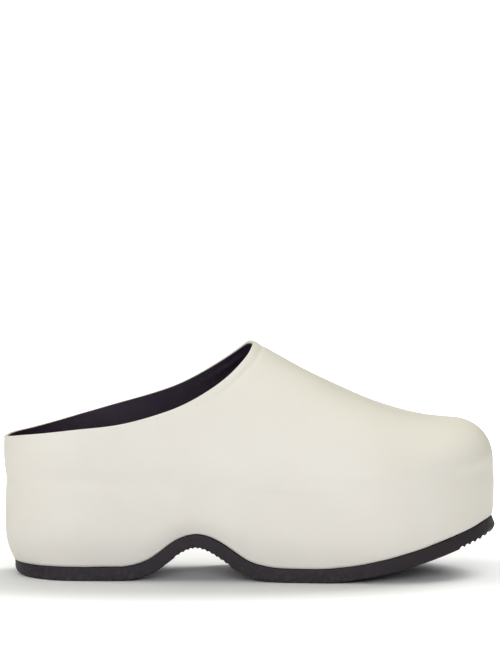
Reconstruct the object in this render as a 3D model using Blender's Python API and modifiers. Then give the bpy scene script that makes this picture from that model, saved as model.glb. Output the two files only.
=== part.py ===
"""Platform mule, right foot: a leather wrapped platform shoe with a low open back.

One smooth leather upper is pulled over the last and on down over the platform block to a thin
black rubber outsole, which bridges an arch under the waist and turns up at the toe. The shoe
stands on z = 0, its toe points to +X and its outer (lateral) side to -Y. Metres, +Z up.
"""
from math import pi

import bmesh
import bpy
import numpy as np
from mathutils import Matrix

# Sizes of the whole shoe
SHOE_LENGTH = 0.264
BALL_WIDTH = 0.104
PLATFORM_HEIGHT = 0.0555
INSTEP_HEIGHT = 0.1250
COLLAR_HEIGHT = 0.0740
THROAT_REACH = 0.1340
MEDIAL_LIFT = 0.0043

# Rounding of the outline, as shares of the length and powers of the rounding curve
HEEL_ROUND = 0.15
HEEL_POWER = 2.2
TOE_ROUND = 0.26
TOE_POWER = 2.15

# Upper
WALL = 0.0024
TUCK = 0.0052
TUCK_SHARE = 0.42
CREASE_DEPTH = 0.0010
CREASE_WIDTH = 0.0050
HEEL_SWELL = 0.0012
SWELL_WIDTH = 0.0110
HEEL_REACH = 0.0300
TOE_REACH = 0.0248

# Platform and insole
GAP = 0.0003
SIDE_GAP = 0.0004
BED_DROP = 0.0065
INSOLE_THICKNESS = 0.0042
INSOLE_DISH = 0.0018

# Outsole
SOLE_THICKNESS = 0.0075
SOLE_EDGE = 0.0007
HEEL_ROLL = 0.0045
HEEL_ROLL_SHARE = 0.09
TOE_ROLL = 0.0022
TOE_ROLL_SHARE = 0.03
TOE_LIP = 0.0014
TOE_RAKE = 0.0018
TOE_RAKE_POWER = 12
ARCH_START = 0.0610
ARCH_LENGTH = 0.0905
ARCH_RISE = 0.0176
TOE_SPRING = 0.0240
TOE_SPRING_SHARE = 0.36
TOE_SPRING_POWER = 1.6
RIB_DEPTH = 0.0008
ARCH_RIB_PITCH = 0.0025
ARCH_RIB_START = 0.0910
ARCH_RIB_COUNT = 12
TOE_RIB_PITCH = 0.0030
TOE_RIB_END = 0.0014
TOE_RIB_COUNT = 6

# Plan of the shoe: centre line and half width as shares of the ball width
OUTLINE = [
    dict(along=0.00, centre=0.000, half=0.370),
    dict(along=0.15, centre=-0.012, half=0.385),
    dict(along=0.30, centre=-0.018, half=0.378),
    dict(along=0.42, centre=-0.022, half=0.388),
    dict(along=0.55, centre=-0.015, half=0.430),
    dict(along=0.65, centre=0.000, half=0.472),
    dict(along=0.74, centre=0.018, half=0.499),
    dict(along=0.82, centre=0.036, half=0.499),
    dict(along=0.90, centre=0.055, half=0.490),
    dict(along=1.00, centre=0.075, half=0.478),
]

# Rise of the sole over the arch, as a share of the arch's height
ARCH = [
    dict(along=0.000, rise=0.000),
    dict(along=0.095, rise=0.070),
    dict(along=0.190, rise=0.270),
    dict(along=0.286, rise=0.640),
    dict(along=0.380, rise=0.917),
    dict(along=0.464, rise=1.000),
    dict(along=0.570, rise=0.853),
    dict(along=0.667, rise=0.547),
    dict(along=0.762, rise=0.226),
    dict(along=0.857, rise=0.070),
    dict(along=1.000, rise=0.000),
]

# Sections of the last. ridge: top line as a share of the instep height. crease: the line where the
# upper meets the platform, as a share of the platform height. power: fullness of the section.
# fold, tuck and swell: shares of the crease depth, of the tuck at the sole and of the heel's swell.
LAST = [
    dict(along=0.000, ridge=1.620, crease=0.915, power=2.00, fold=0.40, tuck=1.00, swell=1.0),
    dict(along=0.080, ridge=1.538, crease=0.985, power=2.00, fold=0.40, tuck=0.92, swell=0.85),
    dict(along=0.200, ridge=1.400, crease=0.980, power=2.00, fold=0.35, tuck=0.80, swell=0.6),
    dict(along=0.330, ridge=1.225, crease=0.900, power=2.00, fold=0.20, tuck=0.65, swell=0.3),
    dict(along=0.512, ridge=0.998, crease=0.915, power=2.12, fold=0.20, tuck=0.50, swell=0.1),
    dict(along=0.610, ridge=0.879, crease=0.920, power=2.12, fold=0.30, tuck=0.45, swell=0.1),
    dict(along=0.710, ridge=0.770, crease=0.920, power=2.12, fold=0.40, tuck=0.40, swell=0.1),
    dict(along=0.810, ridge=0.692, crease=0.920, power=2.12, fold=0.70, tuck=0.35, swell=0.2),
    dict(along=0.860, ridge=0.674, crease=0.960, power=2.13, fold=1.00, tuck=0.30, swell=0.3),
    dict(along=0.930, ridge=0.669, crease=1.035, power=2.15, fold=1.00, tuck=0.27, swell=0.3),
    dict(along=1.000, ridge=0.657, crease=1.015, power=2.15, fold=0.40, tuck=0.25, swell=0.1),
]
RIDGE_SIDE = 0.018

# Collar seen from the side, from the heel to the throat: rise as a share of the way from the
# collar height to the throat, lift of the inner side as a share of the medial lift.
COLLAR = [
    dict(along=0.000, rise=0.000, lift=0.00),
    dict(along=0.050, rise=0.050, lift=-0.35),
    dict(along=0.150, rise=0.105, lift=-0.45),
    dict(along=0.300, rise=0.151, lift=0.15),
    dict(along=0.450, rise=0.200, lift=0.90),
    dict(along=0.600, rise=0.293, lift=1.10),
    dict(along=0.720, rise=0.409, lift=1.20),
    dict(along=0.820, rise=0.552, lift=1.30),
    dict(along=0.915, rise=0.727, lift=1.20),
    dict(along=0.960, rise=0.838, lift=0.95),
    dict(along=0.985, rise=0.935, lift=0.50),
    dict(along=1.000, rise=1.000, lift=0.00),
]

# Places along the shoe where its sections are drawn
ZONES = [
    dict(start=0.15, end=0.27, steps=5),
    dict(start=0.27, end=0.52, steps=20),
    dict(start=0.52, end=0.74, steps=8),
]
HEEL_STEPS = 9
TOE_STEPS = 13
THROAT_STEPS = (0.003, 0.008, 0.015)
WALL_ROWS = (0.0, 0.10, 0.24, 0.42, 0.84, 1.0)
DOME_ROWS = 8
ROW_DRIFT = np.linspace(-0.12, 0.12, 25)
PLATFORM_ROWS = (0.0, 0.12, 0.28, 0.5, 1.0)
INSOLE_SPANS = 4

# Colours (linear), roughness
LEATHER = (0.74, 0.71, 0.63)
RUBBER = (0.034, 0.027, 0.033)
LINING = (0.022, 0.017, 0.020)
CORK = (0.62, 0.50, 0.36)


def spline(xs, ys, flat_ends=False):
    """Smooth curve through the points: natural at its ends, or level there."""
    x, y = np.asarray(xs, float), np.asarray(ys, float)
    last = len(x) - 1
    step, rise = np.diff(x), np.diff(y) / np.diff(x)
    matrix, target = np.eye(last + 1), np.zeros(last + 1)
    for i in range(1, last):
        matrix[i, i - 1:i + 2] = step[i - 1], 2 * (step[i - 1] + step[i]), step[i]
        target[i] = 6 * (rise[i] - rise[i - 1])
    if flat_ends:
        matrix[0, :2], target[0] = (2 * step[0], step[0]), 6 * rise[0]
        matrix[last, -2:], target[last] = (step[-1], 2 * step[-1]), -6 * rise[-1]
    bend = np.linalg.solve(matrix, target)

    def at(place):
        q = np.clip(np.asarray(place, float), x[0], x[-1])
        k = np.clip(np.searchsorted(x, q) - 1, 0, last - 1)
        left, right = (x[k + 1] - q) / step[k], (q - x[k]) / step[k]
        curved = (left**3 - left) * bend[k] + (right**3 - right) * bend[k + 1]
        return left * y[k] + right * y[k + 1] + curved * step[k]**2 / 6

    return at


def column(rows, name, flat_ends=False):
    """One column of a table as a smooth curve over the shoe's length."""
    return spline([row["along"] for row in rows], [row[name] for row in rows], flat_ends)


HEEL_X = HEEL_SWELL - SHOE_LENGTH / 2
TOE_X = SHOE_LENGTH / 2
WALL_LENGTH = TOE_X - HEEL_X
THROAT_X = THROAT_REACH - SHOE_LENGTH / 2

centre_at = column(OUTLINE, "centre")
half_at = column(OUTLINE, "half")
arch_at = column(ARCH, "rise", flat_ends=True)
ridge_at = column(LAST, "ridge")
crease_at = column(LAST, "crease")
power_at = column(LAST, "power")
fold_at = column(LAST, "fold")
tuck_at = column(LAST, "tuck")
swell_at = column(LAST, "swell")
rise_at = column(COLLAR, "rise")
lift_at = column(COLLAR, "lift")

LATERAL, MEDIAL = -1, 1


# Outline in plan

def x_at(share):
    return HEEL_X + WALL_LENGTH * np.asarray(share, float)


def share_at(x):
    return (np.asarray(x, float) - HEEL_X) / WALL_LENGTH


def roundness(share):
    """Share of the half width that is left where the outline rounds off at heel and toe."""
    heel = np.clip(1 - share / HEEL_ROUND, 0, 1)
    toe = np.clip(1 - (1 - share) / TOE_ROUND, 0, 1)
    heel_width = (1 - heel**HEEL_POWER) ** (1 / HEEL_POWER)
    toe_width = (1 - toe**TOE_POWER) ** (1 / TOE_POWER)
    return heel_width * toe_width


FINE = (1 - np.cos(np.linspace(0, pi, 3001))) / 2


def fine_outline(side):
    """One side of the outline as many points, with the direction that faces out of the shoe."""
    x = x_at(FINE)
    y = BALL_WIDTH * (centre_at(FINE) + side * half_at(FINE) * roundness(FINE))
    run_x, run_y = np.gradient(x), np.gradient(y)
    run_x[[0, -1]] = 0
    run = np.hypot(run_x, run_y)
    return x, y, -side * run_y / run, side * run_x / run


OUTLINES = {side: fine_outline(side) for side in (LATERAL, MEDIAL)}


def ring(stations, inset, end=0.12):
    """Outline moved in by inset(share): x, lateral y and medial y at each station.

    Both sides share their x, so that a strip from side to side lies square to the shoe."""
    moved = {}
    for side, (x, y, out_x, out_y) in OUTLINES.items():
        moved[side] = (x - out_x * inset(FINE), y - out_y * inset(FINE))
    heel_move = moved[MEDIAL][0][0] - HEEL_X
    toe_move = moved[MEDIAL][0][-1] - TOE_X
    near_heel = np.clip(1 - stations / end, 0, 1) ** 2
    near_toe = np.clip(1 - (1 - stations) / end, 0, 1) ** 2
    x = x_at(stations) + heel_move * near_heel + toe_move * near_toe
    lateral, medial = [np.interp(x, *moved[side]) for side in (LATERAL, MEDIAL)]
    lateral[[0, -1]] = medial[[0, -1]]
    return x, lateral, medial


def closed_ring(stations, inset, height):
    """Points of a ring around the shoe: heel, lateral side, toe, medial side."""
    x, lateral, medial = ring(stations, inset)
    z = height(x)
    near = np.stack([x, lateral, z], axis=1)
    far = np.stack([x, medial, z], axis=1)
    return np.concatenate([near, far[-2:0:-1]])


# Lines in side view

def sole_line(x):
    """Top of the outsole: level under heel and ball, bridged at the waist, sprung at the toe."""
    arch = ARCH_RISE * arch_at(np.clip((x - HEEL_X - ARCH_START) / ARCH_LENGTH, 0, 1))
    spring = np.clip((share_at(x) - 1) / TOE_SPRING_SHARE + 1, 0, 2)
    return SOLE_THICKNESS + arch + TOE_SPRING * spring**TOE_SPRING_POWER


def under_line():
    """Underside of the outsole: its top moved square to itself by the thickness."""
    x = np.linspace(HEEL_X - SOLE_THICKNESS, TOE_X + SOLE_THICKNESS, 4001)
    z = sole_line(x)
    slope = np.gradient(z, x)
    run = np.hypot(1, slope)
    return x + slope / run * SOLE_THICKNESS, z - SOLE_THICKNESS / run


UNDER = under_line()


def sole_under(x):
    return np.interp(x, *UNDER)


def foot_z(x):
    return sole_line(x) + GAP


def crease_z(x):
    return PLATFORM_HEIGHT * crease_at(share_at(x))


def bed_z(x):
    """Top of the platform, under the insole."""
    return crease_z(x) - BED_DROP


def collar_z(x, side):
    """Height of the collar at x; in front of the throat there is none."""
    share = (x + SHOE_LENGTH / 2) / THROAT_REACH
    throat = INSTEP_HEIGHT * ridge_at(share_at(THROAT_X))
    z = COLLAR_HEIGHT + (throat - COLLAR_HEIGHT) * rise_at(share)
    if side == MEDIAL:
        z = z + MEDIAL_LIFT * lift_at(share)
    return np.where(share > 1, np.inf, z)


# Surface of the last

def fold_depth(share, distance):
    """Soft crease around the shoe, at a distance above or below its line."""
    return CREASE_DEPTH * fold_at(share) * np.exp(-(distance / CREASE_WIDTH) ** 2)


def wall_inset(share, z):
    """How far the wall of the platform lies inside the outline at a height."""
    x = x_at(share)
    rise = (z - foot_z(x)) / (crease_z(x) - foot_z(x))
    tuck = TUCK * tuck_at(share) * np.clip(1 - rise / TUCK_SHARE, 0, 1) ** 2
    return tuck + fold_depth(share, crease_z(x) - z)


def ridge_point(stations):
    """Points of the top line, to which the sections rise from both sides."""
    x = HEEL_X + HEEL_REACH + (WALL_LENGTH - HEEL_REACH - TOE_REACH) * stations
    share = share_at(x)
    return x, BALL_WIDTH * (centre_at(share) + RIDGE_SIDE), INSTEP_HEIGHT * ridge_at(share)


def dome(stations, side, angle):
    """Points of the upper above the crease; the angle goes from the crease up to the ridge."""
    x, y, out_x, out_y = [np.interp(stations, FINE, row) for row in OUTLINES[side]]
    top_x, top_y, top_z = ridge_point(stations)
    bend = 2 / power_at(stations)
    spread = np.clip(np.cos(angle), 0, 1) ** bend
    height = (top_z - crease_z(x)) * np.sin(angle) ** bend
    swell = HEEL_SWELL * swell_at(stations) * (1 - np.exp(-(height / SWELL_WIDTH) ** 2))
    out = swell - fold_depth(stations, height)
    x_out, y_out = x + out_x * out, y + out_y * out
    return (top_x + (x_out - top_x) * spread,
            top_y + (y_out - top_y) * spread,
            crease_z(x) + height)


def collar_angle(stations, side):
    """Angle at which each section meets the collar, or a right angle where it meets the ridge."""
    low, high = np.zeros_like(stations), np.full_like(stations, pi / 2)
    for _ in range(40):
        middle = (low + high) / 2
        x, _, z = dome(stations, side, middle)
        above = z > collar_z(x, side)
        high = np.where(above, middle, high)
        low = np.where(above, low, middle)
    return high


# Stations along the shoe

def throat_station():
    return (THROAT_X - HEEL_X - HEEL_REACH) / (WALL_LENGTH - HEEL_REACH - TOE_REACH)


def body_stations():
    """Shares of the length where sections are drawn, close together where the shoe curves."""
    heel = HEEL_ROUND * (1 - np.cos(np.linspace(0, pi / 2, HEEL_STEPS + 1)))
    toe = 1 - TOE_ROUND * (1 - np.cos(np.linspace(pi / 2, 0, TOE_STEPS + 1)))
    parts = [heel] + [np.linspace(z["start"], z["end"], z["steps"] + 1) for z in ZONES] + [toe]
    stations = np.unique(np.round(np.concatenate(parts), 9))
    throat = throat_station()
    extra = np.array([throat] + [throat - step for step in THROAT_STEPS])
    nearest = np.abs(stations[:, None] - extra[None, :]).min(axis=1)
    return np.sort(np.concatenate([stations[nearest > 0.003], extra]))


def rib_places():
    """Places of the ribs' crests and valleys, in turn, as shares: arch first, then toe."""
    arch = HEEL_X + ARCH_RIB_START + ARCH_RIB_PITCH / 2 * np.arange(2 * ARCH_RIB_COUNT + 1)
    toe = TOE_X - TOE_RIB_END - TOE_RIB_PITCH / 2 * np.arange(2 * TOE_RIB_COUNT, -1, -1)
    return share_at(arch), share_at(toe)


# Meshes

def material(name, colour, roughness):
    made = bpy.data.materials.new(name)
    made.use_nodes = True
    shader = made.node_tree.nodes["Principled BSDF"]
    shader.inputs["Base Color"].default_value = (*colour, 1)
    shader.inputs["Roughness"].default_value = roughness
    shader.inputs["Metallic"].default_value = 0
    return made


def add_object(name, points, faces, finish, collection):
    """Make an object from points and faces, with its faces turned outwards."""
    mesh = bpy.data.meshes.new(name)
    mesh.from_pydata([tuple(map(float, point)) for point in points], [], faces)
    shape = bmesh.new()
    shape.from_mesh(mesh)
    bmesh.ops.remove_doubles(shape, verts=shape.verts, dist=1e-6)
    bmesh.ops.recalc_face_normals(shape, faces=shape.faces)
    shape.to_mesh(mesh)
    shape.free()
    mesh.materials.append(finish)
    made = bpy.data.objects.new(name, mesh)
    collection.objects.link(made)
    return made


def side_faces(rows, count):
    """Quads between rings that lie one above the other."""
    faces = []
    for row in range(rows - 1):
        for i in range(count):
            a, b = row * count + i, row * count + (i + 1) % count
            faces.append((a, b, b + count, a + count))
    return faces


def cap_points(loop, spans, dish):
    """Points across a ring between its lateral and medial sides, dished in the middle."""
    stations = len(loop) // 2
    points = []
    for i in range(1, stations):
        near, far = loop[i], loop[-i]
        for k in range(1, spans):
            share = k / spans
            point = near + (far - near) * share
            point[2] -= dish * 4 * share * (1 - share)
            points.append(point)
    return points


def cap_faces(first, count, spans, inner):
    """Strips from side to side that close a ring; inner is the index of its first inner point."""
    half = count // 2

    def point(i, k):
        if k == 0 or i in (0, half):
            return first + i
        if k == spans:
            return first + count - i
        return inner + (i - 1) * (spans - 1) + k - 1

    faces = []
    for i in range(half):
        for k in range(spans):
            corners = [point(i, k), point(i + 1, k), point(i + 1, k + 1), point(i, k + 1)]
            faces.append(tuple(dict.fromkeys(corners)))
    return [face for face in faces if len(face) > 2]


def stacked_solid(name, rings, finish, collection, spans=1, dish=0.0):
    """Closed solid of rings from bottom to top, closed across both end rings."""
    count = len(rings[0])
    points = list(np.concatenate(rings))
    faces = side_faces(len(rings), count)
    faces += cap_faces(0, count, 1, 0)
    inner = len(points)
    points += cap_points(rings[-1], spans, dish)
    faces += cap_faces((len(rings) - 1) * count, count, spans, inner)
    return add_object(name, points, faces, finish, collection)


def make_outsole(finish, collection):
    """Rubber sheet with rolled ends, a raked toe and cross ribs under the arch and the toe."""
    arch_ribs, toe_ribs = rib_places()
    body = body_stations()
    for ribs in (arch_ribs, toe_ribs):
        step = ribs[1] - ribs[0]
        body = body[(body < ribs[0] - step / 2) | (body > ribs[-1] + step / 2)]
    stations = np.sort(np.concatenate([body, arch_ribs, toe_ribs]))
    valleys = np.concatenate([arch_ribs[1::2], toe_ribs[1::2]])
    groove = np.isin(stations, valleys) * RIB_DEPTH

    def edge_inset(share):
        return TUCK * tuck_at(share) - TOE_LIP * share**4

    def top_inset(share):
        return edge_inset(share) + TOE_RAKE * share**TOE_RAKE_POWER

    def roll(share):
        near_heel = np.clip(1 - share / HEEL_ROLL_SHARE, 0, 1) ** 0.5
        near_toe = np.clip(1 - (1 - share) / TOE_ROLL_SHARE, 0, 1) ** 0.5
        heel, toe = HEEL_ROLL - SOLE_EDGE, TOE_ROLL - SOLE_EDGE
        return SOLE_EDGE + heel * near_heel + toe * near_toe

    def rolled(share_of_roll, lift):
        def inset(share):
            return edge_inset(share) + share_of_roll * roll(share)
        points = closed_ring(stations, inset, sole_under)
        raised = lift * roll(stations)
        points[:, 2] += np.concatenate([raised, raised[-2:0:-1]])
        return points

    bottom = rolled(1.0, 0.0)
    bottom[:, 2] += np.concatenate([groove, groove[-2:0:-1]])
    rings = [bottom, rolled(0.3, 0.3), rolled(0.0, 1.0), closed_ring(stations, top_inset, sole_line)]
    return stacked_solid("outsole", rings, finish, collection)


def inner_inset(height, clearance):
    """Inset of a piece that lies inside the upper's wall at a height, with a clearance."""
    def inset(share):
        z = height(x_at(share))
        reach = CREASE_WIDTH / 8
        slope = (wall_inset(share, z + reach) - wall_inset(share, z - reach)) / (2 * reach)
        return wall_inset(share, z) + (WALL + clearance) * np.hypot(1, slope)
    return inset


def make_platform(finish, collection):
    """Block between outsole and insole, inside the leather that wraps it."""
    stations = body_stations()
    rings = []
    for rise in PLATFORM_ROWS:
        def height(x):
            return foot_z(x) + (bed_z(x) - foot_z(x)) * rise
        rings.append(closed_ring(stations, inner_inset(height, SIDE_GAP), height))
    return stacked_solid("platform", rings, finish, collection)


def make_insole(finish, collection):
    """Covered footbed, dished along its middle, on top of the platform."""
    stations = body_stations()

    def under(x):
        return bed_z(x) + GAP

    def over(x):
        return under(x) + INSOLE_THICKNESS

    rings = [closed_ring(stations, inner_inset(z, SIDE_GAP), z) for z in (under, over)]
    return stacked_solid("insole", rings, finish, collection, INSOLE_SPANS, INSOLE_DISH)


def make_upper(finish, collection):
    """Leather shell from the outsole up over the platform and the last to the collar."""
    stations = body_stations()
    last = len(stations) - 1
    half_angle = pi / 2
    sides = {}
    for side in (LATERAL, MEDIAL):
        x, y, out_x, out_y = [np.interp(stations, FINE, row) for row in OUTLINES[side]]
        rows = []
        for rise in WALL_ROWS:
            z = foot_z(x) + (crease_z(x) - foot_z(x)) * rise
            inset = wall_inset(stations, z)
            rows.append(np.stack([x - out_x * inset, y - out_y * inset, z], axis=1))
        top = collar_angle(stations, side)
        top = np.where(stations >= throat_station() - 1e-9, half_angle, top)
        drift = [collar_angle(np.clip(stations + shift, 0, 1), side) for shift in ROW_DRIFT]
        base = np.mean(drift, axis=0)
        for k in range(1, DOME_ROWS + 1):
            share = k / DOME_ROWS
            angle = base * share + (top - base) * share**3
            rows.append(np.stack(dome(stations, side, angle), axis=1))
        sides[side] = rows
    points = []
    for near, far in zip(sides[LATERAL], sides[MEDIAL]):
        points.extend(near)
        points.extend(far[last - 1:0:-1])
    faces = side_faces(len(sides[LATERAL]), 2 * last)
    upper = add_object("upper", points, faces, finish, collection)
    shell = upper.modifiers.new("leather", "SOLIDIFY")
    shell.thickness = WALL
    shell.offset = -1
    shell.use_even_offset = True
    shell.use_quality_normals = True
    return upper


def centre_pieces(pieces):
    """Move the whole shoe level, so that the middle of its box lies over the origin."""
    points = np.array([vertex.co for piece in pieces for vertex in piece.data.vertices])
    middle = (points.min(axis=0) + points.max(axis=0)) / 2
    for piece in pieces:
        piece.data.transform(Matrix.Translation((-middle[0], -middle[1], 0)))


def main():
    for item in list(bpy.data.objects):
        bpy.data.objects.remove(item, do_unlink=True)
    shoe = bpy.data.collections.new("platform_mule")
    bpy.context.scene.collection.children.link(shoe)
    leather = material("cream_leather", LEATHER, 0.45)
    rubber = material("black_rubber", RUBBER, 0.6)
    lining = material("black_lining", LINING, 0.5)
    block = material("platform_block", CORK, 0.8)
    made = [make_outsole(rubber, shoe), make_platform(block, shoe)]
    made += [make_insole(lining, shoe), make_upper(leather, shoe)]
    centre_pieces(made)
    for piece in made:
        piece.data.shade_smooth()
        piece.data.set_sharp_from_angle(angle=pi / 5)


main()
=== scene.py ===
# %% [markdown]
# # A platform mule in cream leather
# This lesson dresses the plain solids of a platform shoe, so that it looks like the real one: thin
# leather with a rolled collar, soft folds where the hide was pulled over the block, a black lining
# and a rubber sole with small ribs. First the plain solids are loaded. They stay where they are,
# and each new piece is drawn in the same metres around them.

# %% Load the plain shoe
from math import pi, radians

import bmesh
import bpy
import numpy as np
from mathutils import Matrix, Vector
from mathutils.kdtree import KDTree


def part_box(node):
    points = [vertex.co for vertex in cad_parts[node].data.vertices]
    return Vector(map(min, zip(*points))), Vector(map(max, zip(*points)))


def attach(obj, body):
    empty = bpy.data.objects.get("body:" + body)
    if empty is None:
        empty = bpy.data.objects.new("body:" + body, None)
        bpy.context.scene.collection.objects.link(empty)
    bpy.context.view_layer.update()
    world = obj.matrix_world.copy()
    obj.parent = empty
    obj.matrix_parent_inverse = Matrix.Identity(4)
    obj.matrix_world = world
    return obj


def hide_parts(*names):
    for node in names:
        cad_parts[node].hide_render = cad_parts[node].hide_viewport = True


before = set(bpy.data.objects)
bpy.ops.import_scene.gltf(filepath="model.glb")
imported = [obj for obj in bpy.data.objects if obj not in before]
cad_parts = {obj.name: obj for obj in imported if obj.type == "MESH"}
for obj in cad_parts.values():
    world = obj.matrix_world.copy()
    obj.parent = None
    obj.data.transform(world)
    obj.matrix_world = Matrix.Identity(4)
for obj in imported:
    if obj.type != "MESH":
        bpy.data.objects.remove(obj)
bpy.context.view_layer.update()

print("plain solids:", sorted(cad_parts))

# %% [markdown]
# ## The sizes of the shoe
# A shoemaker starts from the last: its length, its width at the ball, its height at the instep and
# the thickness of the platform under it. Nearly the same sizes shape the plain solids, so that the
# new leather lies over them within a millimetre or two. Everything else in this lesson is a share
# of these few lengths.

# %% Sizes in metres
SHOE_LENGTH, BALL_WIDTH = 0.264, 0.104
PLATFORM_HEIGHT, INSTEP_HEIGHT = 0.0555, 0.1250
COLLAR_HEIGHT, THROAT_REACH, MEDIAL_LIFT = 0.0735, 0.1348, 0.0045
HEEL_ROUND, HEEL_POWER = 0.15, 2.2
TOE_ROUND, TOE_POWER = 0.26, 2.15
HEEL_SWELL, SWELL_WIDTH, HEEL_REACH, TOE_REACH = 0.0012, 0.0110, 0.0300, 0.0248
TUCK, TUCK_SHARE = 0.0052, 0.42
CREASE_DEPTH, CREASE_WIDTH = 0.0010, 0.0050
WALL, GAP, SIDE_GAP = 0.0024, 0.0003, 0.0004
BED_DROP, INSOLE_THICKNESS, INSOLE_DISH = 0.0065, 0.0042, 0.0018
SOLE_THICKNESS, SOLE_EDGE, HEEL_ROLL, HEEL_ROLL_SHARE = 0.0075, 0.0007, 0.0045, 0.09
TOE_ROLL, TOE_ROLL_SHARE, TOE_LIP, TOE_RAKE, TOE_RAKE_POWER = 0.0022, 0.03, 0.0014, 0.0018, 12
ARCH_START, ARCH_LENGTH, ARCH_RISE = 0.0610, 0.0905, 0.0176
TOE_SPRING, TOE_SPRING_SHARE, TOE_SPRING_POWER = 0.0240, 0.36, 1.6
ARCH_RIB_DEPTH, TOE_RIB_DEPTH = 0.0007, 0.0011
ARCH_RIB_PITCH, ARCH_RIB_START, ARCH_RIB_COUNT = 0.0025, 0.0910, 12
TOE_RIB_PITCH, TOE_RIB_END, TOE_RIB_COUNT = 0.0030, 0.0014, 6
RIDGE_SIDE = 0.018
HEEL_X, TOE_X = HEEL_SWELL - SHOE_LENGTH / 2, SHOE_LENGTH / 2
WALL_LENGTH = TOE_X - HEEL_X
print("length %.0f mm, ball %.0f mm wide" % (SHOE_LENGTH * 1000, BALL_WIDTH * 1000))

# %% [markdown]
# ## Tables along the shoe
# Each table holds a few places along the shoe, from 0 at the heel to 1 at the toe, and what the
# shoe does there. A smooth curve is drawn through each column. Few numbers with a smooth curve give
# fair lines, where many numbers would give lumps.

# %% Tables: plan, arch, last and collar
OUTLINE = np.array([  # along, centre line, half width
    (0.00, 0.000, .370), (0.15, -.012, .385), (0.30, -.018, .378), (0.42, -.022, .388),
    (0.55, -.015, .430), (0.65, 0.000, .472), (0.74, 0.018, .499), (0.82, 0.036, .499),
    (0.90, 0.055, .490), (1.00, 0.075, .478)]).T
ARCH = np.array([  # along the arch, rise
    (0.000, 0.000), (0.095, 0.070), (0.190, 0.270), (0.286, 0.640), (0.380, 0.917), (0.464, 1.0),
    (0.570, 0.853), (0.667, 0.547), (0.762, 0.226), (0.857, 0.070), (1.000, 0.000)]).T
LAST = np.array([  # along, ridge, crease, fullness, fold, tuck, swell
    (0.000, 1.620, 0.915, 2.00, 0.40, 1.00, 1.0), (0.080, 1.538, 0.985, 2.00, 0.40, 0.92, 0.85),
    (0.200, 1.400, 0.980, 2.00, 0.35, 0.80, 0.6), (0.330, 1.225, 0.900, 2.00, 0.20, 0.65, 0.3),
    (0.512, 0.998, 0.915, 2.12, 0.20, 0.50, 0.1), (0.610, 0.879, 0.920, 2.12, 0.30, 0.45, 0.1),
    (0.710, 0.770, 0.920, 2.12, 0.40, 0.40, 0.1), (0.810, 0.692, 0.920, 2.12, 0.70, 0.35, 0.2),
    (0.860, 0.674, 0.960, 2.13, 1.00, 0.30, 0.3), (0.930, 0.669, 1.035, 2.15, 1.00, 0.26, 0.5),
    (1.000, 0.657, 1.015, 2.15, 0.40, 0.17, 0.55)]).T
COLLAR = np.array([  # along, rise, lift of the inner side
    (0.000, 0.024, -.10), (0.050, 0.060, -.38), (0.150, 0.106, -.45), (0.300, 0.157, 0.15),
    (0.450, 0.200, 1.00), (0.600, 0.294, 1.30), (0.720, 0.409, 1.42), (0.820, 0.554, 1.48),
    (0.915, 0.740, 1.35), (0.960, 0.856, 1.15), (0.985, 0.936, 0.75), (1.000, 1.000, 0.00)]).T


def spline(xs, ys, flat_ends=False):
    """Smooth curve through the points: natural at its ends, or level there."""
    x, y = np.asarray(xs, float), np.asarray(ys, float)
    last = len(x) - 1
    step, rise = np.diff(x), np.diff(y) / np.diff(x)
    matrix, target = np.eye(last + 1), np.zeros(last + 1)
    for i in range(1, last):
        matrix[i, i - 1:i + 2] = step[i - 1], 2 * (step[i - 1] + step[i]), step[i]
        target[i] = 6 * (rise[i] - rise[i - 1])
    if flat_ends:
        matrix[0, :2], target[0] = (2 * step[0], step[0]), 6 * rise[0]
        matrix[last, -2:], target[last] = (step[-1], 2 * step[-1]), -6 * rise[-1]
    bend = np.linalg.solve(matrix, target)

    def at(place):
        q = np.clip(np.asarray(place, float), x[0], x[-1])
        k = np.clip(np.searchsorted(x, q) - 1, 0, last - 1)
        left, right = (x[k + 1] - q) / step[k], (q - x[k]) / step[k]
        curved = (left**3 - left) * bend[k] + (right**3 - right) * bend[k + 1]
        return left * y[k] + right * y[k + 1] + curved * step[k]**2 / 6

    return at


centre_at, half_at = [spline(OUTLINE[0], row) for row in OUTLINE[1:]]
arch_at = spline(ARCH[0], ARCH[1], flat_ends=True)
ridge_at, crease_at, power_at, fold_at, tuck_at, swell_at = [
    spline(LAST[0], row) for row in LAST[1:]]
rise_at, lift_at = [spline(COLLAR[0], row) for row in COLLAR[1:]]
hundredths = np.linspace(0, 1, 101)
print("fullest width at", round(float(hundredths[half_at(hundredths).argmax()]), 2))

# %% [markdown]
# ## The outline seen from above
# The leather wall follows the outline of the foot. It is straight along the waist, wide at the ball
# and rounded at both ends. The end curves are those of a rounded square, which is what a broad
# mule toe looks like. The direction that faces out of the shoe is kept with each point.

# %% Outline in plan
LATERAL, MEDIAL = -1, 1
FINE = (1 - np.cos(np.linspace(0, pi, 3001))) / 2


def x_at(share):
    return HEEL_X + WALL_LENGTH * np.asarray(share, float)


def share_at(x):
    return (np.asarray(x, float) - HEEL_X) / WALL_LENGTH


def roundness(share):
    heel = np.clip(1 - share / HEEL_ROUND, 0, 1)
    toe = np.clip(1 - (1 - share) / TOE_ROUND, 0, 1)
    return (1 - heel**HEEL_POWER) ** (1 / HEEL_POWER) * (1 - toe**TOE_POWER) ** (1 / TOE_POWER)


def fine_outline(side):
    x = x_at(FINE)
    y = BALL_WIDTH * (centre_at(FINE) + side * half_at(FINE) * roundness(FINE))
    run_x, run_y = np.gradient(x), np.gradient(y)
    run_x[[0, -1]] = 0
    run = np.hypot(run_x, run_y)
    return x, y, -side * run_y / run, side * run_x / run


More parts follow.
